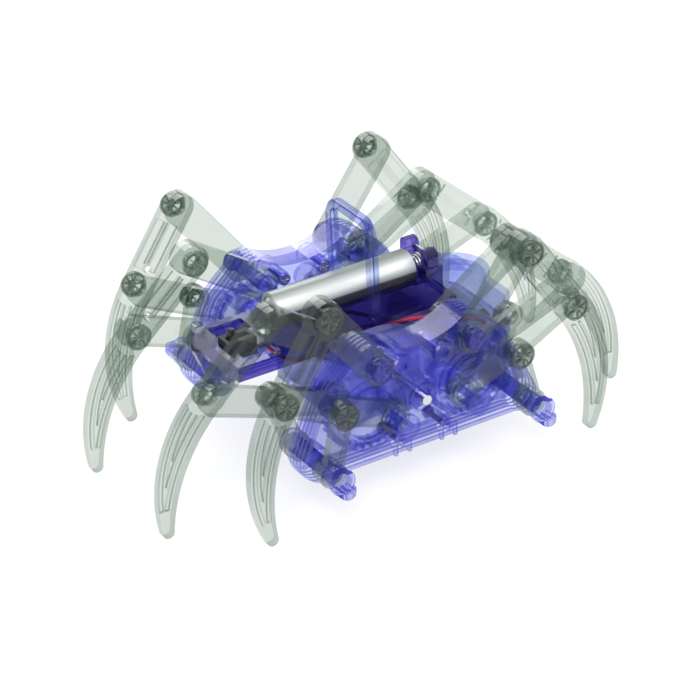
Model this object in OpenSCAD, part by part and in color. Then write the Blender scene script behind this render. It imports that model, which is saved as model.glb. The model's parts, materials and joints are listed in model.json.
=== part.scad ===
// Eight-legged walking toy driven by one small motor through a closed gear train.
// Two leg modules stand either side of a centre gearbox that carries one AAA cell.
// +X is the walking direction, the right module is at -Y, and the feet stand on z = 0.

/* [Linkage] */
// Distance of a crank axis from the drive shaft, along X
crank_x = 16; // [16:0.1:16.4]
// Crank throw
crank_r = 4.8; // [4:0.1:5]
// Crank angle at rest, for the outer legs
crank_phase = 188; // [180:1:195]
// Coupler, from crank pin to lower rocker pin
coupler_in = 17.8; // [17.4:0.1:18.2]
// Coupler, from lower rocker pin to shin pin
coupler_out = 19.9; // [19:0.1:21]
// Bend of the coupler at its middle pin
coupler_bend = 4; // [0:1:8]
// Lower rocker, pin to pin
lower_len = 17.1; // [16.8:0.1:17.6]
// Upper rocker, pin to pin
upper_len = 27.2; // [26.8:0.1:28]
// Shin, between its two pins
shin_len = 25; // [24.5:0.1:25.5]
// Distance of an upper rocker pivot from the drive shaft, along X
upper_pivot_x = 14.8; // [14.6:0.1:15.1]
// Height of an upper rocker pivot over the drive shaft
upper_pivot_z = 14.4; // [14.2:0.1:14.8]
// Distance of a lower rocker pivot from the drive shaft, along X
lower_pivot_x = 31.8; // [31.4:0.1:32.2]
// Depth of a lower rocker pivot below the drive shaft
lower_pivot_drop = 10.2; // [10:0.1:10.6]

/* [Legs] */
// Thickness of every leg plate
link_t = 2.6; // [2:0.1:3]
// Side gap between neighbouring plates
gap = 0.3; // [0.2:0.05:0.5]
// Width of the upper rocker and the shin's upper half
link_w = 9.4; // [8:0.1:10]
// Radius of the leg pins
pin_r = 2; // [1.6:0.1:2.2]
// Radial clearance of a running pin
fit = 0.06; // [0.02:0.01:0.1]
// Reach of the toe along the shin, past its lower pin
toe_reach = 35.2; // [30:0.2:38]
// Sweep of the toe across the shin
toe_sweep = 17; // [14:0.2:19]
// Radius of the toe's round end
toe_r = 1.7; // [1.5:0.1:2.5]
// Radius of the coupler's eye, which is wide enough for the crank pin's whole path
eye_bore = 2.85; // [2.8:0.05:3]

/* [Modules] */
// Distance of a module's inner face from the middle plane
face_in = 24.9; // [24.5:0.1:26]
// Depth of a module
module_d = 10; // [10:0.5:12]
// Thickness of a module's plates
plate_t = 1.6; // [1.2:0.1:2]
// Thickness of a module's side walls
wall = 1.4; // [1:0.1:1.8]

/* [Gears] */
// Gear module of the crank gears and their pinions
coarse = 0.8; // [0.8]
// Gear module of the reduction gears
fine = 0.6; // [0.6]
// Teeth of a crank gear
crank_teeth = 28; // [28]
// Teeth of a drive pinion
drive_teeth = 12; // [12]
// Teeth of both large reduction gears
large_teeth = 36; // [36]
// Teeth of the reduction gear's small end
small_teeth = 10; // [10]
// Teeth of the motor pinion
motor_teeth = 8; // [8]

/* [Power] */
// Diameter of the AAA cell
cell_d = 10.5; // [10.5]
// Length of the AAA cell without its contact
cell_len = 43.7; // [43.7]
// Height of the cell's axis over the drive shaft
cell_z = 18.8; // [18.8:0.1:20]
// Middle of the cell along X
cell_x = -3.6; // [-4:0.1:-3]

/* [Hidden] */
$fn = 48;
RING = ["outer", "inner"];
SIDE = ["right", "left"];
END = ["front", "rear"];
LINK = ["shin", "coupler", "upper_rocker", "lower_rocker"];

upper_pivot = [upper_pivot_x, upper_pivot_z];
lower_pivot = [lower_pivot_x, -lower_pivot_drop];
toe = [toe_reach, -toe_sweep];
face_out = face_in + module_d;
layer_1 = gap;
layer_2 = layer_1 + link_t + gap;
layer_end = layer_2 + link_t;
head_t = 0.9;
head_r = 3.7;
boss_r = 4.4;
lip = 0.3;
boot_r = 3.5;
shaft_r = 1.4;
axle_r = 2.4;
press = 0.02;
rocker_r = 2.8;
disc_r = 7.4;
keel_z = -14.6;
crank_pin_r = 1.15;
gear_y = [27.9, 31.9];
saddle_z = 16.1;
saddle_r = 24.2;
rib_stop = 14;
case_x = [-15, 43];
case_y = 17.4;
case_t = 1.2;
case_floor = -13;
case_step = 0.2;
hood_x = 25.8;
hood_top = 9.2;
turret_top = 13.2;
turret_x = 32.4;
turret_r = 10.8;
mesh_x = fine * (large_teeth + small_teeth) / 2;
motor_x = mesh_x + fine * (large_teeth + motor_teeth) / 2;
deck_z = 11.8;
deck_t = 1.4;
bail_x = 1;
bail_rod = 2.7;
bail_half = 10;
bail_top = 40.7;
bail_foot = deck_z - 0.6;
screw_at = [[6.6, 11.8], [7.3, -11.6]];
screw_r = 0.8;
screw_head_r = 1.7;
screw_head_t = 0.9;
tuck = 0.03;

// Point at distance a from p and b from q, on the left of the line from p to q
function meet(p, a, q, b) =
    let (d = norm(q - p), t = (a * a - b * b + d * d) / (2 * d), u = (q - p) / d)
    p + t * u + sqrt(a * a - t * t) * [-u[1], u[0]];
function dir(angle) = [cos(angle), sin(angle)];
function bearing(p, q) = atan2(q[1] - p[1], q[0] - p[0]);

// Pins of one front leg, seen from -Y with the drive shaft at the origin
function crank_pin(ring) = [crank_x, 0] + crank_r * dir(crank_phase + (ring == "inner" ? 180 : 0));
function knee_pin(ring) = meet(crank_pin(ring), coupler_in, lower_pivot, lower_len);
function coupler_angle(ring) = bearing(crank_pin(ring), knee_pin(ring));
function shin_pin(ring) = knee_pin(ring) + coupler_out * dir(coupler_angle(ring) + coupler_bend);
function hip_pin(ring) = meet(upper_pivot, upper_len, shin_pin(ring), shin_len);
function shin_angle(ring) = bearing(hip_pin(ring), shin_pin(ring));
function toe_at(ring) =
    let (a = shin_angle(ring))
    shin_pin(ring) + toe[0] * dir(a) + toe[1] * dir(a + 90);

// The drive shaft's height puts the lowest toe on the floor
axle_z = toe_r - min(toe_at("outer")[1], toe_at("inner")[1]);

// Radii of the two arcs that are tangent to the shin's edges and to its round toe
edge = link_w / 2;
tip = toe_r - tuck;
claw_out = (toe[0] ^ 2 + (edge - toe[1]) ^ 2 - tip ^ 2) / (2 * (edge - toe[1]) - 2 * tip);
claw_in = (toe[0] ^ 2 + (toe[1] + edge) ^ 2 - tip ^ 2) / (2 * (-toe[1] - edge) + 2 * tip);

LEG_NODES = [for (s = SIDE, e = END, r = RING, k = LINK) str(s, "_", e, "_", r, "_", k)];
CRANK_NODES = [for (s = SIDE, e = END) str(s, "_", e, "_crank_gear")];
BODY_NODES = [
    "right_outer_plate", "right_inner_plate", "left_outer_plate", "left_inner_plate",
    "gearbox_housing", "battery_holder", "bail_handle", "hood",
    "battery_cell", "contact_spring", "contact_plate", "lead_wires",
    "motor", "motor_pinion", "reduction_gear", "shaft_gear", "drive_shaft", "drive_pinions",
    "lower_axles", "axle_caps", "upper_pivot_pins", "screws", "switch_housing", "switch_slider"
];

clear_grey = [0.78, 0.84, 0.79];
violet = [0.30, 0.32, 0.78];
pale_violet = [0.62, 0.66, 0.93];
steel = [0.75, 0.76, 0.78];

// ---- placing helpers ----

// Flat outline in X and Z, from y0 to y1
module slab(y0, y1) {
    translate([0, max(y0, y1), 0])
        rotate([90, 0, 0])
            linear_extrude(abs(y1 - y0))
                children();
}

function side_sign(side) = side == "right" ? -1 : 1;
function depth(ring, d) = ring == "outer" ? face_out + d : face_in - d;

// Leg outline between two depths, measured outwards from the module's face
module leg_slab(side, ring, d0, d1) {
    slab(side_sign(side) * depth(ring, d0), side_sign(side) * depth(ring, d1))
        children();
}

// Front legs are drawn as they are, rear legs are mirrored
module at_end(end) {
    translate([0, 0, axle_z])
        mirror([end == "front" ? 0 : 1, 0, 0])
            children();
}

module both_ends() {
    children();
    mirror([1, 0, 0])
        children();
}

module both_sides() {
    children();
    mirror([0, 1, 0])
        children();
}

module from(p, angle) {
    translate(p)
        rotate(angle)
            children();
}

// Flat bar with round ends of radius r1 at the origin and r2 at distance len along x.
// Its straight edges run a hair inside the ends' tangents, so that they cross cleanly.
module bar(len, r1, r2) {
    a = r1 - tuck;
    b = r2 - tuck;
    polygon([[0, a], [len, b], [len, -b], [0, -a]]);
    circle(r1);
    translate([len, 0])
        circle(r2);
}

// Bore right through a leg's two layers
module leg_bore(side, ring, p, r) {
    leg_slab(side, ring, 0, layer_end + 1)
        translate(p)
            circle(r);
}

// Snap pin that holds the next plate: a shank and a slotted head
module snap_pin(side, ring, p) {
    leg_slab(side, ring, layer_1 + link_t - 0.5, layer_end + gap + 0.1)
        translate(p)
            circle(pin_r);
    leg_slab(side, ring, layer_end + gap, layer_end + gap + head_t)
        translate(p)
            difference() {
                circle(head_r);
                for (a = [45, 135])
                    rotate(a)
                        square([2 * head_r + 1, 0.7], center = true);
                circle(1.1);
            }
    leg_slab(side, ring, layer_end + gap, layer_end + gap + head_t * 0.6)
        translate(p)
            circle(head_r - 0.9);
}

// ---- legs ----

module upper_rocker(side, end, ring) {
    a = bearing(upper_pivot, hip_pin(ring));
    color(clear_grey)
        at_end(end) {
            difference() {
                union() {
                    leg_slab(side, ring, layer_1, layer_1 + link_t)
                        from(upper_pivot, a)
                            bar(upper_len, edge, edge);
                    leg_slab(side, ring, layer_1 + 1, layer_1 + link_t + 0.6)
                        translate(upper_pivot)
                            circle(boss_r - 0.4);
                }
                leg_bore(side, ring, upper_pivot, pin_r + fit);
            }
            snap_pin(side, ring, hip_pin(ring));
        }
}

module coupler(side, end, ring) {
    a = coupler_angle(ring);
    eye_end = layer_1 + link_t + 1.6;
    color(clear_grey)
        at_end(end) {
            difference() {
                union() {
                    leg_slab(side, ring, layer_1, layer_1 + link_t)
                        from(crank_pin(ring), a) {
                            bar(coupler_in, 3.6, 4);
                            from([coupler_in, 0], coupler_bend)
                                bar(coupler_out, 4, 4.3);
                            circle(boss_r);
                        }
                    leg_slab(side, ring, layer_1 + 1, eye_end)
                        translate(crank_pin(ring))
                            circle(boss_r - 0.5);
                    leg_slab(side, ring, eye_end - 0.6, eye_end)
                        translate(crank_pin(ring))
                            circle(boss_r);
                }
                leg_bore(side, ring, crank_pin(ring), eye_bore);
            }
            snap_pin(side, ring, knee_pin(ring));
            snap_pin(side, ring, shin_pin(ring));
        }
}

module lower_rocker(side, end, ring) {
    a = bearing(lower_pivot, knee_pin(ring));
    color(clear_grey)
        at_end(end)
            difference() {
                union() {
                    leg_slab(side, ring, layer_2, layer_end)
                        from(lower_pivot, a) {
                            bar(lower_len, rocker_r, rocker_r);
                            circle(boss_r - 0.5);
                            translate([lower_len, 0])
                                circle(boss_r - 0.5);
                        }
                    leg_slab(side, ring, layer_1, layer_2 + 1)
                        translate(lower_pivot)
                            circle(boss_r - 0.8);
                }
                leg_bore(side, ring, lower_pivot, axle_r + fit);
                leg_bore(side, ring, knee_pin(ring), pin_r + fit);
            }
}

// Crescent between the shin's two tangent arcs, narrowed by inset on both edges
module claw(inset) {
    out_c = [0, edge - claw_out];
    u = (toe - out_c) / norm(toe - out_c);
    intersection() {
        difference() {
            translate(out_c)
                circle(claw_out - inset, $fn = 180);
            translate([0, -edge - claw_in])
                circle(claw_in + inset, $fn = 180);
        }
        polygon([[-0.6, 7], [30, 7], toe + 5 * u, toe - 5 * u, [-0.6, -7]]);
    }
}

module shin_outline() {
    translate([-shin_len, 0])
        circle(edge);
    translate([-shin_len, tuck - edge])
        square([shin_len + 0.8, link_w - 2 * tuck]);
    circle(edge + 0.2);
    claw(0);
    translate(toe)
        circle(toe_r);
}

// Channels between the shin's edge ribs, with a double rib down the middle
module shin_channels() {
    intersection() {
        translate([-shin_len / 2, 0])
            square([shin_len - 2 * edge - 1, link_w - 2.2], center = true);
        union() {
            for (y = [-2.3, 2.3])
                translate([-shin_len / 2, y])
                    square([shin_len, 2.8], center = true);
            translate([-shin_len / 2, 0])
                square([shin_len, 0.5], center = true);
        }
    }
    difference() {
        for (flute = [[1.1, 2.2], [3.2, 3.9]])
            difference() {
                claw(flute[0]);
                claw(flute[1]);
            }
        circle(edge + 1.4);
        translate(toe)
            circle(toe_r + 4);
    }
}

module shin(side, end, ring) {
    color(clear_grey)
        at_end(end)
            difference() {
                leg_slab(side, ring, layer_2, layer_end)
                    from(shin_pin(ring), shin_angle(ring))
                        difference() {
                            shin_outline();
                            translate([-edge - 1.2, 0])
                                circle(1.2);
                        }
                leg_slab(side, ring, layer_end - 1, layer_end + 1)
                    from(shin_pin(ring), shin_angle(ring))
                        shin_channels();
                leg_bore(side, ring, hip_pin(ring), pin_r + fit);
                leg_bore(side, ring, shin_pin(ring), pin_r + 0.3);
            }
}

// ---- gears ----

// Straight-sided gear outline with one tooth on +x
module gear_outline(m, teeth) {
    pitch_r = m * teeth / 2;
    root_r = pitch_r - 1.2 * m;
    tip_r = pitch_r + 0.9 * m;
    step = 360 / teeth;
    points = [
        for (i = [0 : teeth - 1])
            for (k = [[-0.33, root_r], [-0.21, pitch_r], [-0.09, tip_r], [0.09, tip_r], [0.21, pitch_r], [0.33, root_r]])
                k[1] * dir((i + k[0]) * step)
    ];
    polygon(points);
}

module crank_gear(side, end) {
    s = side_sign(side);
    gap_in_front = 180 / crank_teeth;
    color(violet)
        at_end(end) {
            slab(s * gear_y[0], s * gear_y[1])
                translate([crank_x, 0])
                    rotate(gap_in_front)
                        gear_outline(coarse, crank_teeth);
            difference() {
                slab(s * face_in, s * face_out)
                    translate([crank_x, 0])
                        circle(disc_r);
                for (y = [face_in, face_out])
                    translate([crank_x, s * y, 0])
                        rotate([90, 0, 0])
                            difference() {
                                cylinder(h = 1, r = disc_r - 0.5, center = true);
                                cylinder(h = 3, r = disc_r - 1, center = true);
                            }
            }
            for (ring = RING)
                crank_end(side, ring);
        }
}

// Crank pin with its retaining cap; the outer cap stands off on an open half sleeve
module crank_end(side, ring) {
    root = layer_1 + link_t + 1.9;
    sleeve = ring == "outer" ? 4.2 : 0;
    leg_slab(side, ring, -0.5, root + sleeve + 0.8)
        translate(crank_pin(ring))
            circle(crank_pin_r);
    leg_slab(side, ring, root + sleeve, root + sleeve + 1.7)
        translate(crank_pin(ring))
            circle(boss_r - 0.7);
    if (sleeve > 0)
        leg_slab(side, ring, root, root + sleeve + 0.4)
            translate(crank_pin(ring))
                difference() {
                    circle(boss_r - 1.3);
                    translate([-boss_r, 0.4 - crank_pin_r])
                        square([2 * boss_r, boss_r + 2]);
                }
}

module drive_pinions() {
    color(violet)
        translate([0, 0, axle_z])
            both_sides()
                slab(gear_y[0], gear_y[1])
                    difference() {
                        gear_outline(coarse, drive_teeth);
                        circle(shaft_r + press);
                    }
}

module drive_shaft() {
    color(steel)
        translate([0, 0, axle_z])
            slab(-face_out - 2.2, face_out + 2.2)
                circle(shaft_r);
}

module shaft_gear() {
    color("white")
        translate([0, 0, axle_z]) {
            slab(12.6, 15.4)
                difference() {
                    gear_outline(fine, large_teeth);
                    circle(shaft_r + press);
                }
            slab(9.2, 12.6)
                difference() {
                    circle(2.2);
                    circle(shaft_r + press);
                }
        }
}

module reduction_gear() {
    color("white")
        translate([mesh_x, 0, axle_z]) {
            difference() {
                union() {
                    slab(12, 15.4)
                        rotate(180 / small_teeth)
                            gear_outline(fine, small_teeth);
                    slab(9.6, 12.3)
                        gear_outline(fine, large_teeth);
                }
                slab(9, 16)
                    circle(1.05);
            }
        }
}

module motor_pinion() {
    color("gold")
        translate([motor_x, 0, axle_z]) {
            slab(9.4, 12.4)
                rotate(180 / motor_teeth)
                    gear_outline(fine, motor_teeth);
            slab(7, 9.5)
                circle(1);
        }
}

// ---- modules ----

// Outline of a module's plate, grown by g, with the drive shaft at the origin
module plate_outline(g) {
    difference() {
        union() {
            both_ends() {
                polygon([
                    [-1, keel_z - g],
                    [lower_pivot[0], keel_z - g],
                    [36.4 + g, -8.6],
                    [31.9 + g, 1.8],
                    [27.4 + 0.7 * g, 11 + 0.7 * g],
                    [20 + 0.6 * g, 17.6 + 0.8 * g],
                    [15, 20.6 + g],
                    [-1, 21 + g]
                ]);
                translate(lower_pivot)
                    circle(4.9 + g);
                translate(upper_pivot)
                    circle(6.2 + g);
            }
        }
        translate([0, saddle_z + saddle_r])
            circle(saddle_r - g, $fn = 96);
    }
}

// Round openings that both plates share
module plate_holes() {
    both_ends() {
        translate([crank_x, 0])
            circle(disc_r + fit);
        translate(lower_pivot)
            circle(axle_r + press);
        translate(upper_pivot)
            circle(pin_r + press);
    }
    circle(shaft_r + fit);
}

module outer_plate(side) {
    s = side_sign(side);
    color(violet)
        translate([0, 0, axle_z]) {
            difference() {
                slab(s * (face_out - plate_t), s * face_out)
                    difference() {
                        plate_outline(0);
                        plate_holes();
                        both_ends()
                            for (a = [200 : 15 : 335])
                                translate([crank_x, 0] + (disc_r + 1.8) * dir(a))
                                    circle(0.5);
                    }
                slab(s * (face_out - 0.6), s * (face_out + 1)) {
                    both_ends()
                        for (r = [disc_r + 0.7, disc_r + 2.9])
                            translate([crank_x, 0])
                                ring_line(r, 0.45);
                    ring_line(3.9, 0.5);
                }
                slab(s * (face_out - 0.8), s * (face_out + 1))
                    circle(2.5);
            }
            slab(s * (face_in + plate_t), s * (face_out - plate_t))
                difference() {
                    plate_outline(0);
                    plate_outline(-wall);
                }
            for (y = [face_in + 2 : 1.7 : face_out - 2])
                slab(s * y, s * (y + 0.7))
                    difference() {
                        plate_outline(0.5);
                        plate_outline(-0.2);
                        translate([-rib_stop, 0])
                            square([2 * rib_stop, saddle_z + saddle_r]);
                    }
            slab(s * (face_in + plate_t), s * (face_out - plate_t))
                both_ends() {
                    for (p = screw_at)
                        translate(p)
                            difference() {
                                circle(2.2);
                                circle(screw_r + press);
                            }
                    translate(lower_pivot)
                        difference() {
                            circle(4.2);
                            circle(axle_r + press);
                        }
                }
            slab(s * (face_out - 0.1), s * (face_out + 1.1))
                both_ends() {
                    translate(screw_at[0])
                        ring_line(1.4, 1.7);
                    keel_arch();
                }
        }
}

// Ring of width w outside radius r
module ring_line(r, w) {
    difference() {
        circle(r + w);
        circle(r);
    }
}

// Arch round a keel screw post, its legs running down to the plate's bottom edge
module keel_arch() {
    translate(screw_at[1]) {
        difference() {
            union() {
                circle(2.7);
                translate([-2.66, keel_z - screw_at[1][1]])
                    square([5.32, screw_at[1][1] - keel_z]);
            }
            circle(1.7);
            translate([-1.66, keel_z - screw_at[1][1] - 1])
                square([3.32, screw_at[1][1] - keel_z + 1]);
        }
        circle(0.9);
    }
}

module inner_plate(side) {
    s = side_sign(side);
    color(violet)
        translate([0, 0, axle_z])
            difference() {
                slab(s * face_in, s * (face_in + plate_t))
                    difference() {
                        plate_outline(0);
                        plate_holes();
                        both_ends()
                            for (p = screw_at)
                                translate(p)
                                    circle(screw_r + press);
                    }
                slab(s * (face_in - 1), s * (face_in + screw_head_t))
                    both_ends()
                        for (p = screw_at)
                            translate(p)
                                circle(screw_head_r + 0.2);
                slab(s * (face_in - 1), s * (face_in + 0.6))
                    both_ends()
                        translate([crank_x, 0])
                            ring_line(disc_r + 0.7, 0.45);
            }
}

module lower_axles() {
    color(violet)
        translate([0, 0, axle_z])
            both_sides()
                both_ends() {
                    slab(face_in - layer_end - 0.3, face_out + layer_end + 0.3)
                        translate(lower_pivot)
                            circle(axle_r);
                    slab(face_in - layer_end - 1.2, face_in - layer_end - 0.3)
                        translate(lower_pivot)
                            circle(boot_r);
                }
}

module axle_caps() {
    color(violet)
        translate([0, 0, axle_z])
            both_sides()
                both_ends()
                    axle_cap();
}

// Boot on a lower axle's outer end: a hollow ankle and a sole that runs on to a round toe
module axle_cap() {
    ankle = 4.4;
    sole = 7.2;
    cavity = 2.5;
    y0 = face_out + layer_end + 0.3;
    translate([lower_pivot[0], y0, lower_pivot[1]]) {
        difference() {
            union() {
                slab(0, ankle)
                    circle(boot_r);
                slab(ankle - 0.8, ankle - 0.1)
                    circle(boot_r + lip);
                intersection() {
                    slab(0, sole + boot_r)
                        circle(boot_r);
                    union() {
                        translate([-boot_r, 0, -boot_r])
                            cube([2 * boot_r, sole - 2, 0.55 * boot_r]);
                        translate([0, sole - boot_r + 0.6, -boot_r])
                            cylinder(h = 0.55 * boot_r, r = boot_r - 0.1);
                    }
                }
            }
            slab(1.6, ankle + 1)
                circle(cavity);
            translate([0, ankle + 2.4, boot_r])
                rotate([-32, 0, 0])
                    cube([12, 7, 5], center = true);
        }
        for (x = [-1.6, 0, 1.6])
            translate([x - 0.3, ankle - 1.4, -boot_r + 0.4])
                cube([0.6, sole - ankle + 1.6, 0.55 * boot_r]);
    }
}

module upper_pivot_pins() {
    color(violet)
        translate([0, 0, axle_z])
            both_sides()
                both_ends() {
                    slab(face_in - link_t - 1.2, face_out + link_t + 1.2)
                        translate(upper_pivot)
                            circle(pin_r);
                    for (y = [face_in - link_t - 2.1, face_out + link_t + 1.2])
                        slab(y, y + 0.9)
                            translate(upper_pivot)
                                circle(3.1);
                }
}

module screws() {
    color(steel)
        translate([0, 0, axle_z])
            both_sides()
                both_ends()
                    for (p = screw_at) {
                        slab(face_in + screw_head_t, face_out - plate_t - 0.5)
                            translate(p)
                                circle(screw_r);
                        difference() {
                            slab(face_in, face_in + screw_head_t)
                                translate(p)
                                    circle(screw_head_r);
                            translate([p[0], face_in, p[1]]) {
                                cube([2.2, 0.6, 0.4], center = true);
                                cube([0.4, 0.6, 2.2], center = true);
                            }
                        }
                    }
}

// ---- centre section ----

module gearbox_housing() {
    tall = hood_x - case_x[0];
    inner = 2 * (case_y - case_t);
    color(violet)
        translate([0, 0, axle_z]) {
            difference() {
                union() {
                    translate([0, 0, case_floor])
                        case_block(case_step - case_floor, 0);
                    translate([case_x[0], -case_y, case_floor])
                        cube([tall, 2 * case_y, deck_z - case_floor]);
                    both_sides()
                        translate([-5.6, case_y - 1, -9.6])
                            cube([11.2, face_in - case_y + 1, 19.6]);
                }
                difference() {
                    translate([0, 0, case_floor + case_t])
                        case_block(-case_floor, case_t);
                    translate([case_x[0] - 1, -case_y, case_floor])
                        cube([case_t + 1, 2 * case_y, 30]);
                }
                translate([case_x[0] + case_t, -inner / 2, case_floor + case_t])
                    cube([tall - 2 * case_t, inner, 30]);
                translate([hood_x - 4, -inner / 2, case_floor + case_t])
                    cube([6, inner, 22.8]);
                both_sides() {
                    translate([-4.2, case_y - 2, -8.2])
                        cube([8.4, face_in - case_y - 0.4, 16.8]);
                    translate([case_x[0] - 1, 7.6, 7.9])
                        cube([case_t + 2, 2.8, 8]);
                }
                slab(-face_in - 1, face_in + 1)
                    circle(shaft_r + fit);
            }
            slab(9.2, case_y - 0.5)
                translate([mesh_x, 0])
                    circle(1);
            for (y = [-9, 3])
                translate([motor_x - 9, y, case_floor + case_t - 0.2])
                    cube([18, 2, 0.2 - case_floor - case_t - 7.5]);
        }
}

// Block on the housing's footprint with two round corners at its front, shrunk by inset
module case_block(height, inset) {
    front = case_x[1] - inset;
    side = case_y - inset;
    corner = 6 - inset;
    translate([case_x[0], -side, 0])
        cube([front - corner - case_x[0], 2 * side, height]);
    translate([case_x[0], corner - side, 0])
        cube([front - case_x[0], 2 * (side - corner), height]);
    both_sides()
        translate([front - corner, side - corner, 0])
            cylinder(h = height, r = corner);
}

// Cover over the motor: a low rounded box under a round turret
module hood() {
    height = hood_top - case_step;
    turret_h = turret_top - case_step;
    color(pale_violet)
        translate([0, 0, axle_z + case_step])
            difference() {
                intersection() {
                    union() {
                        case_block(height, 0);
                        translate([turret_x, 0, 0])
                            cylinder(h = turret_h, r = turret_r);
                    }
                    translate([hood_x, -case_y - 1, 0])
                        cube([30, 2 * case_y + 2, 20]);
                }
                translate([0, 0, -1])
                    case_block(height + 1 - case_t, case_t);
                translate([turret_x, 0, -1])
                    cylinder(h = turret_h + 1 - case_t, r = turret_r - case_t);
            }
}

module motor() {
    color("silver")
        translate([motor_x, 0, axle_z]) {
            difference() {
                slab(-12, 8.6)
                    intersection() {
                        circle(10, $fn = 72);
                        square([20, 15], center = true);
                    }
                slab(6, 9)
                    circle(1.06);
            }
            slab(8.6, 9.2)
                difference() {
                    circle(3);
                    circle(1.06);
                }
        }
    color("white")
        translate([motor_x, 0, axle_z]) {
            slab(-14.6, -12)
                intersection() {
                    circle(9.6, $fn = 72);
                    square([20, 14.4], center = true);
                }
            slab(-15.6, -14.6)
                circle(2.6);
            for (x = [-6.5, 6.5])
                translate([x, -15, 0])
                    cube([2.2, 1.4, 0.6], center = true);
        }
}

// Flat deck over the gearbox with the cell's cradle, the end posts and the switch frame
module battery_holder() {
    color(violet)
        translate([0, 0, axle_z]) {
            difference() {
                translate([-42, -13, deck_z - 3])
                    cube([67.6, 26, deck_t + 3]);
                translate([-43, -11.6, deck_z - 4])
                    cube([70, 23.2, 4]);
                translate([-15.4, -14, deck_z - 4])
                    cube([42, 28, 4]);
                translate([-39.4, 4.6, 0])
                    cube([10.4, 6.2, 30]);
                translate([-39.4, -10.8, 0])
                    cube([10.4, 6.2, 30]);
                translate([-40.6, -3.1, 0])
                    cube([9.2, 6.2, 30]);
                translate([-29, -0.9, 0])
                    cube([0.7, 1.8, 30]);
                for (y = [-bail_half, bail_half])
                    translate([bail_x, y, deck_z])
                        cube([bail_rod + 2 * fit, bail_rod + 2 * fit, 10], center = true);
            }
            translate([-43.2, -13, deck_z - 3])
                cube([1.4, 26, deck_t + 3]);
            cradle();
        }
}

module cradle() {
    difference() {
        union() {
            translate([-8, -6.6, deck_z + deck_t - 0.2])
                cube([28, 13.2, 4]);
            translate([-24, -4.4, deck_z + deck_t - 0.2])
                cube([5, 8.8, 2.6]);
            translate([19.6, -7.4, deck_z + deck_t - 0.2])
                cube([5.4, 14.8, 7.2]);
            for (y = [-4.8, 4.8])
                end_ear(y);
        }
        translate([-60, 0, cell_z])
            rotate([0, 90, 0])
                cylinder(h = 79.6, r = cell_d / 2 + 0.15);
        translate([18, -3.6, deck_z + deck_t + 1])
            cube([5.2, 7.2, 20]);
    }
}

// Upright ear with a round top beside the spring
module end_ear(y) {
    translate([20.4, y, 0])
        rotate([90, 0, 90])
            linear_extrude(3.6) {
                translate([-2.2, deck_z])
                    square([4.4, 11]);
                translate([0, deck_z + 11])
                    circle(2.2);
            }
}

// Tall loop that straddles the cell, its feet pushed into the deck
module bail_handle() {
    color(pale_violet)
        translate([bail_x, 0, axle_z])
            rotate([0, 0, 90])
                slab(-bail_rod / 2, bail_rod / 2)
                    difference() {
                        bail_outline(bail_rod / 2);
                        bail_outline(-bail_rod / 2);
                        translate([-bail_half - bail_rod, -1])
                            square([2 * (bail_half + bail_rod), bail_foot + 1]);
                    }
}

// The loop's middle line grown by g, open at the foot
module bail_outline(g) {
    corner = 4;
    half = bail_half + g;
    translate([-half, 0])
        square([2 * half, bail_top - corner]);
    translate([corner - bail_half, 0])
        square([2 * (bail_half - corner), bail_top + g]);
    for (x = [corner - bail_half, bail_half - corner])
        translate([x, bail_top - corner])
            circle(corner + g);
}

module battery_cell() {
    color("silver")
        translate([cell_x - cell_len / 2, 0, axle_z + cell_z])
            rotate([0, 90, 0]) {
                cylinder(h = cell_len, r = cell_d / 2);
                translate([0, 0, -0.8])
                    cylinder(h = 1, r = 1.9);
            }
}

module contact_spring() {
    color("silver")
        translate([0, 0, axle_z]) {
            translate([22.3, -3.2, deck_z + deck_t + 1.2])
                cube([0.5, 6.4, 9]);
            translate([18.4, 0, cell_z])
                rotate([0, 90, 0])
                    difference() {
                        cylinder(h = 4, r1 = 2, r2 = 3.1);
                        translate([0, 0, -1])
                            cylinder(h = 6, r1 = 1.1, r2 = 2.2);
                    }
        }
}

module contact_plate() {
    color("silver")
        translate([0, 0, axle_z]) {
            translate([-26.9, -1.6, deck_z + deck_t])
                cube([0.5, 3.2, 7]);
            translate([-28.9, -1.6, deck_z + deck_t])
                cube([2.2, 3.2, 0.5]);
            translate([-28.9, -0.8, deck_z - 0.8])
                cube([0.5, 1.6, deck_t + 1.2]);
        }
}

module switch_housing() {
    color([0.08, 0.08, 0.09])
        translate([-36, 0, axle_z + deck_z - 2.4])
            difference() {
                translate([-4.4, -3, 0])
                    cube([8.8, 6, 5.4]);
                translate([-3.2, -1.1, 3])
                    cube([6.4, 2.2, 4]);
            }
}

module switch_slider() {
    color([0.05, 0.05, 0.06])
        translate([-37.6, 0, axle_z + deck_z + 0.9])
            union() {
                translate([-1.2, -0.8, 0])
                    cube([2.4, 1.6, 3.6]);
                translate([-0.7, -0.8, 3.6])
                    cube([1.4, 1.6, 1.2]);
            }
}

// Round wires from the cell's contact and the switch to the motor's tags, each swept along its route
red_route = [
    [-28.6, 0, 10.4], [-25, -4.6, 6.6], [-20, -8, 6.2], [-17, -8.6, 8.6], [-11, -8.8, 10.4],
    [0, -9.6, 10.6], [12, -13.2, 10.4], [20, -15, 9], [25, -15.3, 7], [30, -15.4, 5.4],
    [32.9, -15.4, 3.4], [33.5, -15.4, 0.9]
];
black_route = [
    [-38, 2, 8.8], [-34.4, 5.8, 6], [-24, 8.5, 5.4], [-17, 9.4, 8.6], [-11, 9, 10.4],
    [-5, 5, 10.6], [2, -3, 10.2], [8, -9.4, 9.2], [13.4, -13.6, 7.6], [18, -15.3, 5.6],
    [19.9, -15.4, 3.2], [20.5, -15.4, 0.9]
];
wire_r = 0.6;

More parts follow.
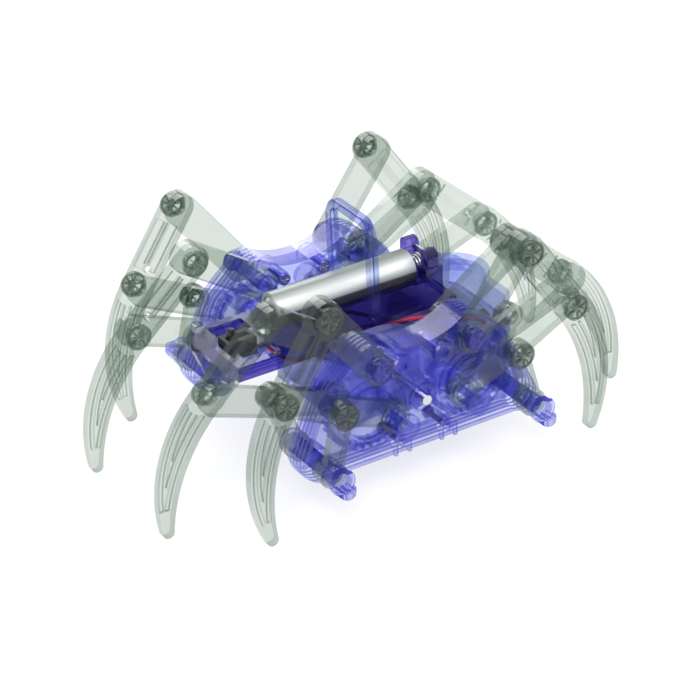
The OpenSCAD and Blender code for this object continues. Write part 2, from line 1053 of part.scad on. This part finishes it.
// Smooth point on a route at parameter t from 0 to 1
function spline(p, t) =
    let (n = len(p) - 1, k = min(n - 1, floor(t * n)), f = t * n - k,
        a = p[max(0, k - 1)], b = p[k], c = p[k + 1], d = p[min(n, k + 2)])
    0.5 * (2 * b + (c - a) * f + (2 * a - 5 * b + 4 * c - d) * f ^ 2 + (3 * b - a - 3 * c + d) * f ^ 3);

module wire(route) {
    rings = 44;
    sides = 8;
    centre = [for (i = [0 : rings]) spline(route, i / rings)];
    points = [
        for (i = [0 : rings])
            let (
                t = centre[min(rings, i + 1)] - centre[max(0, i - 1)],
                u = cross(t, [0, 0, 1]) / norm(cross(t, [0, 0, 1])),
                v = cross(u, t) / norm(cross(u, t))
            )
                for (k = [0 : sides - 1])
                    centre[i] + wire_r * (cos(k * 360 / sides) * u + sin(k * 360 / sides) * v)
    ];
    faces = concat(
        [[for (k = [0 : sides - 1]) k]],
        [for (i = [0 : rings - 1], k = [0 : sides - 1])
            [i * sides + k, (i + 1) * sides + k, (i + 1) * sides + (k + 1) % sides, i * sides + (k + 1) % sides]],
        [[for (k = [sides - 1 : -1 : 0]) rings * sides + k]]
    );
    translate([0, 0, axle_z])
        polyhedron(points, faces);
}

module lead_wires() {
    color("red")
        wire(red_route);
    color("black")
        wire(black_route);
}

// ---- the nodes ----

for (s = SIDE, e = END, r = RING) {
    leg = str(s, "_", e, "_", r, "_");
    shin(s, e, r);
    coupler(s, e, r);
    upper_rocker(s, e, r);
    lower_rocker(s, e, r);
}
for (s = SIDE, e = END)
    crank_gear(s, e);
for (s = SIDE) {
    outer_plate(s);
    inner_plate(s);
}
gearbox_housing();
battery_holder();
bail_handle();
hood();
battery_cell();
contact_spring();
contact_plate();
lead_wires();
motor();
motor_pinion();
reduction_gear();
shaft_gear();
drive_shaft();
drive_pinions();
lower_axles();
axle_caps();
upper_pivot_pins();
screws();
switch_housing();
switch_slider();
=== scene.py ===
"""Looks for the eight-legged walking toy: clear plastics, the cell, its spring, the wires and the light."""

import math

import bmesh
import bpy
from mathutils import Matrix, Vector
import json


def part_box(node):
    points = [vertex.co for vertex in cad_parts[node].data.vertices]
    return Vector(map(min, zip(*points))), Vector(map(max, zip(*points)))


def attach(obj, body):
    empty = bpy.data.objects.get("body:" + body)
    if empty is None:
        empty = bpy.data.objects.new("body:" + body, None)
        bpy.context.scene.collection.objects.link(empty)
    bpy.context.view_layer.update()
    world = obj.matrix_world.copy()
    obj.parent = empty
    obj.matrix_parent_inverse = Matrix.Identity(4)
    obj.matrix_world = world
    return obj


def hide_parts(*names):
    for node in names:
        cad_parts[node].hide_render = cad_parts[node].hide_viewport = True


MM = 0.001

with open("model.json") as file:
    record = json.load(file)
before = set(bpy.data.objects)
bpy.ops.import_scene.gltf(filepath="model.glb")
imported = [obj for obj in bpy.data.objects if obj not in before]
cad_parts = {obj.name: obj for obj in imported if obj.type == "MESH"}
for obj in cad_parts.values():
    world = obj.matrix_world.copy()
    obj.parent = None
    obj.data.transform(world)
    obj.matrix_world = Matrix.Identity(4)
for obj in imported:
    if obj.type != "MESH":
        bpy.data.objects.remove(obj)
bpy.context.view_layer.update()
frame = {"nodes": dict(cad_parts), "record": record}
NODES = frame["nodes"]
RECORD = frame["record"]
PIVOT = {joint["name"]: Vector(joint["pos_m"]) for joint in RECORD["behaviour"]["joints"] if "pos_m" in joint}


# ---- materials ----

class Nodes:
    """Short names for building one material's node tree."""

    def __init__(self, name):
        self.material = bpy.data.materials.new(name)
        self.material.use_nodes = True
        self.tree = self.material.node_tree
        self.tree.nodes.clear()
        self.out = self.tree.nodes.new("ShaderNodeOutputMaterial")

    def add(self, kind, **inputs):
        node = self.tree.nodes.new(kind)
        for name, value in inputs.items():
            self.set(node, name.replace("_", " "), value)
        return node

    def set(self, node, name, value):
        socket = node.inputs[name]
        if isinstance(value, bpy.types.NodeSocket):
            self.tree.links.new(value, socket)
        elif isinstance(value, tuple) and len(value) == 3 and socket.type == "RGBA":
            socket.default_value = (*value, 1)
        else:
            socket.default_value = value

    def math(self, operation, a, b=0.5, clamp=False):
        node = self.tree.nodes.new("ShaderNodeMath")
        node.operation = operation
        node.use_clamp = clamp
        for socket, value in zip(node.inputs, (a, b)):
            if isinstance(value, bpy.types.NodeSocket):
                self.tree.links.new(value, socket)
            else:
                socket.default_value = value
        return node.outputs[0]

    def mix(self, factor, a, b):
        node = self.tree.nodes.new("ShaderNodeMix")
        node.data_type = "RGBA"
        for name, value in (("Factor_Float", factor), ("A_Color", a), ("B_Color", b)):
            socket = next(s for s in node.inputs if s.identifier == name)
            if isinstance(value, bpy.types.NodeSocket):
                self.tree.links.new(value, socket)
            elif isinstance(value, tuple):
                socket.default_value = (*value, 1)
            else:
                socket.default_value = value
        return next(s for s in node.outputs if s.identifier == "Result_Color")

    def ramp(self, factor, stops):
        node = self.add("ShaderNodeValToRGB", Fac=factor)
        elements = node.color_ramp.elements
        elements.remove(elements[1])
        elements[0].position = stops[0][0]
        elements[0].color = (*stops[0][1], 1)
        for place, colour in stops[1:]:
            elements.new(place).color = (*colour, 1)
        return node.outputs["Color"]

    def object_noise(self, scale, detail=2.0, roughness=0.5):
        where = self.add("ShaderNodeTexCoord").outputs["Object"]
        noise = self.add("ShaderNodeTexNoise", Vector=where, Scale=scale, Detail=detail, Roughness=roughness)
        return noise.outputs["Fac"]

    def bump(self, height, strength, distance):
        return self.add("ShaderNodeBump", Height=height, Strength=strength, Distance=distance).outputs["Normal"]

    def finish(self, shader):
        self.tree.links.new(shader, self.out.inputs["Surface"])
        return self.material


PLASTIC_IOR = 1.49
GLOSS_IOR = 1.4
WALL_SHADE = 0.24
GLANCE_SHADE = 0.26


def clear_plastic(name, thin, deep, body, fills, roughness, plates=True, ripple=0.12, lines=1.0):
    """Moulded clear plastic, pale through its flats, with painted shade darkening it along its rounded edges, on its
    side walls and where it turns from the view.

    thin and deep tint what is seen through a flat and through an edge, deep being the painted shade, body is the
    colour of the plastic itself, and fills says how much of it shows in each. Plates lie across Y; other parts
    are boxes along the axes.
    """
    n = Nodes(name)
    flow = n.object_noise(70.0, 3.0, 0.6)
    glance = n.add("ShaderNodeLayerWeight", Blend=0.3).outputs["Facing"]
    normal = n.add("ShaderNodeSeparateXYZ", Vector=n.add("ShaderNodeNewGeometry").outputs["True Normal"])
    nx, ny, nz = (n.math("ABSOLUTE", normal.outputs[axis]) for axis in "XYZ")
    wall = n.math("SUBTRACT", 1.0, n.math("MULTIPLY", ny, ny), clamp=True)
    if plates:
        crease = n.math("MULTIPLY", n.math("MULTIPLY", wall, n.math("MULTIPLY", ny, ny)), 4.0)
    else:
        flat = n.math("MAXIMUM", nx, n.math("MAXIMUM", ny, nz))
        crease = n.math("MULTIPLY", n.math("SUBTRACT", 1.0, flat), 3.4)
    shade = n.math("ADD", n.math("MULTIPLY", wall, WALL_SHADE), n.math("MULTIPLY", glance, GLANCE_SHADE))
    shade = n.math("MULTIPLY", shade, n.math("ADD", n.math("MULTIPLY", flow, 1.2), 0.4))
    # Painted shade: this mask darkens the see-through tint and the plastic's own colour along the bevelled edges, on
    # the side walls and where the surface turns from the view, mottled by noise.
    edge_shade = n.math("ADD", shade, n.math("MULTIPLY", crease, lines), clamp=True)
    bumps = n.bump(n.object_noise(160.0, 2.0), ripple, 0.0003)
    through = n.add("ShaderNodeBsdfTransparent", Color=n.mix(edge_shade, thin, deep)).outputs["BSDF"]
    solid = n.add("ShaderNodeBsdfPrincipled", Roughness=roughness, IOR=PLASTIC_IOR, Normal=bumps)
    n.set(solid, "Base Color", n.mix(edge_shade, body, tuple(c * 0.35 for c in body)))
    shine = n.add("ShaderNodeBsdfGlossy", Roughness=roughness * 0.6, Normal=bumps)
    n.set(shine, "Color", (1.0, 1.0, 1.0))
    fill = n.math("ADD", n.math("MULTIPLY", edge_shade, fills[1] - fills[0]), fills[0], clamp=True)
    inner = n.add("ShaderNodeMixShader", Fac=fill)
    n.tree.links.new(through, inner.inputs[1])
    n.tree.links.new(solid.outputs["BSDF"], inner.inputs[2])
    fresnel = n.add("ShaderNodeFresnel", IOR=GLOSS_IOR, Normal=bumps).outputs["Fac"]
    front = n.math("SUBTRACT", 1.0, n.add("ShaderNodeNewGeometry").outputs["Backfacing"])
    surface = n.add("ShaderNodeMixShader", Fac=n.math("MULTIPLY", fresnel, front, clamp=True))
    n.tree.links.new(inner.outputs[0], surface.inputs[1])
    n.tree.links.new(shine.outputs["BSDF"], surface.inputs[2])
    return n.finish(surface.outputs[0])


def metal(name, colour, roughness, streak_scale=(400, 12, 12)):
    """Drawn or plated metal with fine streaks along one axis."""
    n = Nodes(name)
    where = n.add("ShaderNodeTexCoord").outputs["Object"]
    stretched = n.add("ShaderNodeMapping", Vector=where, Scale=streak_scale).outputs["Vector"]
    streaks = n.add("ShaderNodeTexNoise", Vector=stretched, Scale=14.0, Detail=3.0).outputs["Fac"]
    shader = n.add("ShaderNodeBsdfPrincipled", Metallic=1.0, Normal=n.bump(streaks, 0.15, 0.0002))
    n.set(shader, "Base Color", n.mix(streaks, tuple(c * 0.8 for c in colour), colour))
    n.set(shader, "Roughness", n.math("ADD", n.math("MULTIPLY", streaks, 0.2), roughness - 0.1))
    return n.finish(shader.outputs["BSDF"])


def solid_plastic(name, colour, roughness, grain=0.2):
    """Opaque moulded plastic with a fine spark-eroded grain."""
    n = Nodes(name)
    grain_height = n.object_noise(900.0, 4.0)
    tone = n.object_noise(60.0, 2.0)
    shader = n.add("ShaderNodeBsdfPrincipled", Roughness=roughness, Normal=n.bump(grain_height, grain, 0.0003))
    n.set(shader, "Base Color", n.mix(tone, tuple(c * 0.8 for c in colour), colour))
    return n.finish(shader.outputs["BSDF"])


WRAP_ROLL = 33


def cell_wrap(name):
    """Foil wrap, rolled towards the near side: near-black below, satin silver above with a painted highlight band
    across it and a grey top that is painted reflection, without any mark.
    """
    n = Nodes(name)
    lo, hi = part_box("battery_cell")
    axis = Vector((0, 0, (lo.z + hi.z) / 2))
    radius = (hi.z - lo.z) / 2
    where = n.add("ShaderNodeTexCoord").outputs["Object"]
    offset = n.add("ShaderNodeVectorMath")
    offset.operation = "SUBTRACT"
    n.tree.links.new(where, offset.inputs[0])
    offset.inputs[1].default_value = axis
    roll = math.radians(WRAP_ROLL)
    rise = n.add("ShaderNodeVectorMath")
    rise.operation = "DOT_PRODUCT"
    n.tree.links.new(offset.outputs[0], rise.inputs[0])
    rise.inputs[1].default_value = Vector((0, math.sin(roll), math.cos(roll))) / (2 * radius)
    level = n.math("ADD", rise.outputs["Value"], 0.5)
    # Painted highlight and painted reflection: the bright band and the grey top stand for light on the round cell;
    # the near-black band only makes it darker towards the bottom.
    dark, rim, painted_highlight, painted_reflection_grey = (0.006, 0.006, 0.009), (0.25, 0.27, 0.26), (0.62, 0.65, 0.62), (0.16, 0.19, 0.18)
    bands = n.ramp(level, ((0.2, dark), (0.27, dark), (0.31, rim), (0.48, painted_highlight), (0.6, painted_highlight), (0.86, painted_reflection_grey)))
    fleck = n.object_noise(1500.0, 3.0)
    shader = n.add("ShaderNodeBsdfPrincipled", Roughness=0.3, Normal=n.bump(fleck, 0.05, 0.0002))
    n.set(shader, "Base Color", n.mix(n.math("MULTIPLY", fleck, 0.12), bands, (0.4, 0.42, 0.42)))
    n.set(shader, "Metallic", 0.12)
    n.set(shader, "Coat Weight", 0.12)
    n.set(shader, "Coat Roughness", 0.15)
    return n.finish(shader.outputs["BSDF"])


LEG = clear_plastic("leg_plastic", (0.81, 0.84, 0.81), (0.26, 0.34, 0.3), (0.3, 0.4, 0.4), (0.01, 0.1), 0.1)
# Copy of the leg plastic for the pin heads, paler through its flats and with darker painted shade at its edges.
LEG_HEAD_SHADED = clear_plastic("leg_plastic_head_shaded", (0.88, 0.92, 0.89), (0.14, 0.2, 0.16), (0.3, 0.37, 0.32),
                          (0.02, 0.16), 0.12, True, 0.3)
VIOLET = clear_plastic("violet_plastic", (0.885, 0.9, 0.985), (0.12, 0.11, 0.72), (0.05, 0.05, 0.62),
                       (0.03, 0.2), 0.09)
DEEP = clear_plastic("deep_violet_plastic", (0.5, 0.44, 0.84), (0.06, 0.04, 0.36), (0.018, 0.01, 0.12),
                     (0.12, 0.5), 0.1, False)
VIOLET_BOX = clear_plastic("violet_box_plastic", (0.83, 0.845, 0.975), (0.12, 0.11, 0.72), (0.05, 0.05, 0.62),
                           (0.04, 0.24), 0.09, False)
PALE = clear_plastic("pale_violet_plastic", (0.94, 0.955, 0.99), (0.4, 0.47, 0.88), (0.3, 0.33, 0.85),
                     (0.03, 0.14), 0.08, True, 0.12, 0.2)
BAIL = clear_plastic("bail_plastic", (0.9, 0.925, 0.985), (0.14, 0.2, 0.72), (0.2, 0.22, 0.75),
                     (0.02, 0.12), 0.08, False, 0.05)
STEEL = metal("bright_steel", (0.72, 0.73, 0.75), 0.24)
CAN = metal("motor_can_steel", (0.55, 0.56, 0.58), 0.32, (12, 400, 12))
BRASS = metal("brass", (0.8, 0.6, 0.28), 0.28)
GEAR = solid_plastic("white_gear_plastic", (0.8, 0.79, 0.74), 0.42)
BLACK = solid_plastic("black_plastic", (0.012, 0.012, 0.014), 0.45)
RED_SLEEVE = solid_plastic("red_wire_sleeve", (0.42, 0.012, 0.05), 0.4, 0.1)
BLACK_SLEEVE = solid_plastic("black_wire_sleeve", (0.015, 0.015, 0.017), 0.4, 0.1)
WRAP = cell_wrap("cell_wrap")
BY_NODE = {"battery_holder": DEEP, "gearbox_housing": VIOLET_BOX, "bail_handle": BAIL}
SLOTS = {
    "clear_leg_plastic": LEG,
    "violet_plastic": VIOLET,
    "pale_violet_plastic": PALE,
    "steel": STEEL,
    "motor_steel": CAN,
    "brass": BRASS,
    "white_gear_plastic": GEAR,
    "black_plastic": BLACK,
    "wire_insulation": RED_SLEEVE,
    "cell_wrap": WRAP,
}


def dress(obj, material):
    obj.data.materials.clear()
    obj.data.materials.append(material)


def soften(obj, width, segments=2):
    """Rounds a part's edges as moulding does."""
    weld = obj.modifiers.new("weld", "WELD")
    weld.merge_threshold = 2e-6
    bevel = obj.modifiers.new("bevel", "BEVEL")
    bevel.width = width
    bevel.segments = segments
    bevel.limit_method = "ANGLE"
    bevel.angle_limit = math.radians(35)
    bevel.harden_normals = False
    bevel.use_clamp_overlap = True


LEG_EDGE = 0.32 * MM
BAIL_EDGE = 0.6 * MM
BODY_EDGE = 0.2 * MM


def dress_nodes():
    for part in RECORD["subparts"]:
        node = NODES[part["node"]]
        dress(node, BY_NODE.get(part["node"], SLOTS[part["material_slot"]]))
        for polygon in node.data.polygons:
            polygon.use_smooth = False
    for name, node in NODES.items():
        if name.endswith(("_shin", "_coupler", "_rocker")):
            soften(node, LEG_EDGE)
        elif name == "bail_handle":
            soften(node, BAIL_EDGE, 3)
        elif name not in ("lead_wires", "contact_spring", "battery_cell"):
            soften(node, BODY_EDGE)


# ---- mesh helpers ----

def new_piece(name, mesh, material, body, replaces=()):
    obj = bpy.data.objects.new(name, mesh)
    bpy.context.scene.collection.objects.link(obj)
    dress(obj, material)
    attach(obj, body)
    if replaces:
        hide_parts(*replaces)
    return obj


def lathe(bm, profile, steps=64, axis="X", origin=Vector()):
    """Turns (along, radius) points round an axis through origin."""
    rings = []
    for along, radius in profile:
        ring = []
        for k in range(steps):
            a = 2 * math.pi * k / steps
            p = Vector((along, radius * math.cos(a), radius * math.sin(a)))
            if axis == "Y":
                p = Vector((p.y, p.x, p.z))
            ring.append(bm.verts.new(origin + p))
        rings.append(ring)
    for lower, upper in zip(rings, rings[1:]):
        for k in range(steps):
            bm.faces.new((lower[k], lower[(k + 1) % steps], upper[(k + 1) % steps], upper[k]))
    for ring, flip in ((rings[0], True), (rings[-1], False)):
        bm.faces.new(list(reversed(ring)) if flip else ring)
    bmesh.ops.recalc_face_normals(bm, faces=bm.faces)


def sweep(bm, path, radius, sides=12):
    """Round tube along a path of points, with closed ends."""
    up = Vector((0, 0, 1))
    rings = []
    for i, p in enumerate(path):
        along = (path[min(len(path) - 1, i + 1)] - path[max(0, i - 1)]).normalized()
        if abs(along.dot(up)) > 0.95:
            up = Vector((0, 1, 0))
        u = along.cross(up).normalized()
        v = u.cross(along).normalized()
        up = v
        rings.append([bm.verts.new(p + radius * (math.cos(a) * u + math.sin(a) * v))
                      for a in (2 * math.pi * k / sides for k in range(sides))])
    for lower, upper in zip(rings, rings[1:]):
        for k in range(sides):
            bm.faces.new((lower[k], lower[(k + 1) % sides], upper[(k + 1) % sides], upper[k]))
    bm.faces.new(rings[0])
    bm.faces.new(list(reversed(rings[-1])))
    bmesh.ops.recalc_face_normals(bm, faces=bm.faces)


def to_mesh(bm, name, smooth_angle=30):
    mesh = bpy.data.meshes.new(name)
    bm.to_mesh(mesh)
    bm.free()
    mesh.shade_smooth()
    mesh.set_sharp_from_angle(angle=math.radians(smooth_angle))
    return mesh


def smooth_path(points, steps):
    """Catmull-Rom curve through the points."""
    out = []
    last = len(points) - 1
    for i in range(steps + 1):
        t = i / steps * last
        k = min(last - 1, int(t))
        f = t - k
        a, b, c, d = points[max(0, k - 1)], points[k], points[k + 1], points[min(last, k + 2)]
        out.append(0.5 * (2 * b + (c - a) * f + (2 * a - 5 * b + 4 * c - d) * f * f
                          + (3 * b - a - 3 * c + d) * f ** 3))
    return out


# ---- pin heads ----

CRANK_THROW = 4.8 * MM
CRANK_PHASE = {"outer": math.radians(188), "inner": math.radians(8)}
COUPLER_OUT = 19.9 * MM
COUPLER_BEND = math.radians(4)
HEAD_R = 3.7 * MM
HEAD_TOP = 7.0 * MM
ARCH_HEIGHT = 1.1 * MM
OUTER_HEAD_HEIGHT = 0.6 * MM
INNER_HEAD_HEIGHT = 0.3 * MM
HEAD_PETALS = 5


def rosette(bm, centre, outward, radius, height, petals):
    """Pin head with a raised rim, a ring of petals and a dimple, standing on a flat back."""
    steps = 16 * petals
    levels = [0.0, 0.1, 0.2, 0.28, 0.36, 0.44, 0.52, 0.6, 0.68, 0.76, 0.82, 0.87, 0.92, 0.97, 1.0]

    def rise(t, a):
        if t > 0.8:
            return 0.55 + 0.45 * math.cos((t - 0.91) / 0.11 * math.pi / 2)
        if t < 0.22:
            return 0.25 + 0.3 * math.cos(t / 0.22 * math.pi / 2)
        lobe = max(0.0, math.sin((t - 0.22) / 0.58 * math.pi)) ** 0.6
        return 0.25 + 0.75 * lobe * max(0.0, 0.25 + 0.75 * math.cos(petals * a)) ** 0.7

    def place(t, a, h):
        return centre + Vector((t * radius * math.cos(a), outward * h, t * radius * math.sin(a)))

    angles = [2 * math.pi * k / steps for k in range(steps)]
    rings = [[bm.verts.new(place(t, a, height * rise(t, a))) for a in angles] for t in levels[1:]]
    rings.append([bm.verts.new(place(1.0, a, 0)) for a in angles])
    top = bm.verts.new(place(0, 0, height * rise(0, 0)))
    new_faces = []
    for k in range(steps):
        new_faces.append(bm.faces.new((top, rings[0][k], rings[0][(k + 1) % steps])))
        for inner, outer in zip(rings, rings[1:]):
            new_faces.append(bm.faces.new((inner[k], outer[k], outer[(k + 1) % steps], inner[(k + 1) % steps])))
    new_faces.append(bm.faces.new(rings[-1]))
    bmesh.ops.recalc_face_normals(bm, faces=new_faces)


def make_pin_heads():
    lo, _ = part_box("right_outer_plate")
    _, inner_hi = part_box("right_inner_plate")
    face = {"outer": abs(lo.y + ARCH_HEIGHT), "inner": abs(inner_hi.y)}
    for side, sy in (("right", -1), ("left", 1)):
        for end, sx in (("front", 1), ("rear", -1)):
            for ring in ("outer", "inner"):
                leg = f"{side}_{end}_{ring}_"
                out = sy if ring == "outer" else -sy
                y = sy * face[ring] + out * HEAD_TOP
                tall = OUTER_HEAD_HEIGHT if ring == "outer" else INNER_HEAD_HEIGHT
                crank = PIVOT[f"{side}_{end}_crank_turn"]
                knee = PIVOT[leg + "knee_pivot"]
                phase = CRANK_PHASE[ring]
                pin_x = sx * crank.x + CRANK_THROW * math.cos(phase)
                pin_z = crank.z + CRANK_THROW * math.sin(phase)
                heading = math.atan2(knee.z - pin_z, sx * knee.x - pin_x) + COUPLER_BEND
                far_x = sx * (sx * knee.x + COUPLER_OUT * math.cos(heading))
                far_z = knee.z + COUPLER_OUT * math.sin(heading)
                bm = bmesh.new()
                rosette(bm, Vector((knee.x, y, knee.z)), out, HEAD_R, tall, HEAD_PETALS)
                rosette(bm, Vector((far_x, y, far_z)), out, HEAD_R, tall, HEAD_PETALS)
                new_piece(leg + "coupler_pin_heads", to_mesh(bm, leg + "coupler_pin_heads", 60),
                          LEG_HEAD_SHADED, leg + "coupler")
                hip = PIVOT[leg + "shin_pivot"]
                bm = bmesh.new()
                rosette(bm, Vector((hip.x, y, hip.z)), out, HEAD_R, tall, HEAD_PETALS)
                new_piece(leg + "rocker_pin_head", to_mesh(bm, leg + "rocker_pin_head", 60),
                          LEG_HEAD_SHADED, leg + "upper_rocker")


def make_upper_pin_heads():
    _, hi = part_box("upper_pivot_pins")
    bm = bmesh.new()
    for side, sy in (("right", -1), ("left", 1)):
        for end in ("front", "rear"):
            pivot = PIVOT[f"{side}_{end}_outer_upper_pivot"]
            rosette(bm, Vector((pivot.x, sy * hi.y, pivot.z)), sy, 3.0 * MM, 0.5 * MM, 4)
    new_piece("upper_pin_heads", to_mesh(bm, "upper_pin_heads", 60), VIOLET_BOX, "chassis")


# ---- the cell, its contacts and the wires ----

def make_cell():
    lo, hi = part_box("battery_cell")
    middle = Vector((0, (lo.y + hi.y) / 2, (lo.z + hi.z) / 2))
    r = (hi.z - lo.z) / 2
    x0, x1 = lo.x + 0.8 * MM, hi.x
    body = [(x0 + 0.5 * MM, r - 1.5 * MM), (x0 + 0.05 * MM, r - 1.2 * MM), (x0, r - 0.7 * MM),
            (x0 + 0.1 * MM, r - 0.25 * MM), (x0 + 0.45 * MM, r), (x1 - 0.45 * MM, r),
            (x1 - 0.1 * MM, r - 0.25 * MM), (x1, r - 0.7 * MM), (x1 - 0.05 * MM, r - 1.1 * MM),
            (x1 - 0.3 * MM, r - 1.3 * MM)]
    bm = bmesh.new()
    lathe(bm, body, origin=middle)
    new_piece("cell_body", to_mesh(bm, "cell_body", 50), WRAP, "chassis", ("battery_cell",))
    caps = [(lo.x, 1.2 * MM), (lo.x + 0.08 * MM, 1.7 * MM), (lo.x + 0.3 * MM, 1.9 * MM), (lo.x + 1.1 * MM, 1.95 * MM),
            (lo.x + 1.2 * MM, 2.4 * MM), (lo.x + 1.25 * MM, r - 1.4 * MM)]
    bm = bmesh.new()
    lathe(bm, caps, 48, origin=middle)
    lathe(bm, [(x1 - 0.35 * MM, r - 1.2 * MM), (x1 - 0.1 * MM, r - 2.0 * MM), (x1, r - 2.8 * MM)], 48, origin=middle)
    new_piece("cell_terminals", to_mesh(bm, "cell_terminals", 40), STEEL, "chassis")


def make_spring():
    """Conical coil that grows from the cell's end to its plate."""
    lo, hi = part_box("contact_spring")
    cell_lo, cell_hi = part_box("battery_cell")
    z = (cell_lo.z + cell_hi.z) / 2
    wire = 0.3 * MM
    start, end = cell_hi.x + wire, hi.x - 0.5 * MM - wire
    turns = 4.5
    steps = 120
    path = []
    for i in range(steps + 1):
        t = i / steps
        r = (1.5 + 1.5 * t) * MM
        a = 2 * math.pi * turns * t
        path.append(Vector((start + (end - start) * t, r * math.cos(a), z + r * math.sin(a))))
    bm = bmesh.new()
    sweep(bm, path, wire, 10)
    bmesh.ops.create_cube(bm, size=1, matrix=Matrix.Translation(
        ((hi.x - 0.25 * MM), 0, (lo.z + hi.z) / 2)) @ Matrix.Diagonal((0.45 * MM, hi.y - lo.y, hi.z - lo.z, 1)))
    new_piece("coil_spring_contact", to_mesh(bm, "coil_spring_contact", 40), STEEL, "chassis",
              ("contact_spring",))


AXLE_Z = PIVOT["drive_shaft_turn"].z
NEAR_ROUTE = [
    (-28.6, 0, 10.4), (-25, -4.6, 6.6), (-20, -8, 6.2), (-17, -8.6, 8.6), (-11, -8.8, 10.4),
    (0, -9.6, 10.6), (12, -13.2, 10.4), (20, -15, 9), (25, -15.3, 7), (30, -15.4, 5.4),
    (32.9, -15.4, 3.4), (33.5, -15.4, 0.9),
]
FAR_ROUTE = [
    (-38, 2, 8.8), (-34.4, 5.8, 6), (-24, 8.5, 5.4), (-17, 9.4, 8.6), (-11, 9, 10.4),
    (-5, 5, 10.6), (2, -3, 10.2), (8, -9.4, 9.2), (13.4, -13.6, 7.6), (18, -15.3, 5.6),
    (19.9, -15.4, 3.2), (20.5, -15.4, 0.9),
]


WIRE_R = 0.6 * MM


def make_wire(name, route, material, replaces=()):
    points = [Vector(p) * MM + Vector((0, 0, AXLE_Z)) for p in route]
    bm = bmesh.new()
    sweep(bm, smooth_path(points, 110), WIRE_R, 14)
    return new_piece(name, to_mesh(bm, name, 50), material, "chassis", replaces)


# ---- stage ----

def make_stage():
    bpy.ops.mesh.primitive_plane_add(size=6, location=(0, 0, 0))
    floor = bpy.context.object
    floor.name = "floor"
    n = Nodes("pale_floor")
    tone = n.object_noise(3.0)
    shader = n.add("ShaderNodeBsdfPrincipled", Roughness=0.9)
    n.set(shader, "Base Color", n.mix(tone, (0.26, 0.26, 0.26), (0.28, 0.28, 0.28)))
    n.set(shader, "Emission Color", (1.0, 1.0, 1.0))
    n.set(shader, "Emission Strength", 0.7)
    dress(floor, n.finish(shader.outputs["BSDF"]))

    world = bpy.data.worlds.new("studio")
    bpy.context.scene.world = world
    world.use_nodes = True
    world.node_tree.nodes["Background"].inputs["Color"].default_value = (1, 1, 1, 1)
    world.node_tree.nodes["Background"].inputs["Strength"].default_value = 0.85

    for name, place, size, power in (
        ("key", (-0.35, -0.5, 0.75), 0.5, 6.5),
        ("fill", (0.7, -0.3, 0.45), 0.6, 3.0),
        ("back", (0.1, 0.8, 0.6), 0.6, 4.5),
    ):
        light = bpy.data.lights.new(name, "AREA")
        light.size = size
        light.energy = power
        obj = bpy.data.objects.new(name, light)
        obj.location = place
        obj.rotation_mode = "QUATERNION"
        obj.rotation_quaternion = (-Vector(place)).to_track_quat("-Z", "Y")
        bpy.context.scene.collection.objects.link(obj)


def make_camera():
    """A long lens, 30 degrees round to the left and 29 degrees up."""
    yaw, pitch, roll, distance = 0.5272, 0.5108, -0.0517, 0.797
    target = Vector((-0.0031, -0.0030, 0.0257))
    ahead = Vector((math.sin(yaw) * math.cos(pitch), math.cos(yaw) * math.cos(pitch), -math.sin(pitch)))
    right = ahead.cross(Vector((0, 0, 1))).normalized()
    up = right.cross(ahead)
    turned_right = math.cos(roll) * right + math.sin(roll) * up
    turned_up = math.cos(roll) * up - math.sin(roll) * right
    camera = bpy.data.cameras.new("camera")
    camera.lens = 149.6
    camera.sensor_width = 36
    camera.clip_start = 0.05
    obj = bpy.data.objects.new("camera", camera)
    axes = Matrix((turned_right, turned_up, -ahead)).transposed().to_4x4()
    obj.matrix_world = Matrix.Translation(target - distance * ahead) @ axes
    bpy.context.scene.collection.objects.link(obj)
    bpy.context.scene.camera = obj


make_camera()
dress_nodes()
make_pin_heads()
make_upper_pin_heads()
make_cell()
make_spring()
make_wire("black_wire", FAR_ROUTE, BLACK_SLEEVE, ("lead_wires",))
make_wire("red_wire", NEAR_ROUTE, RED_SLEEVE)
make_stage()

scene = bpy.context.scene
scene.view_settings.view_transform = "Standard"
scene.cycles.transparent_max_bounces = 48
scene.cycles.max_bounces = 12
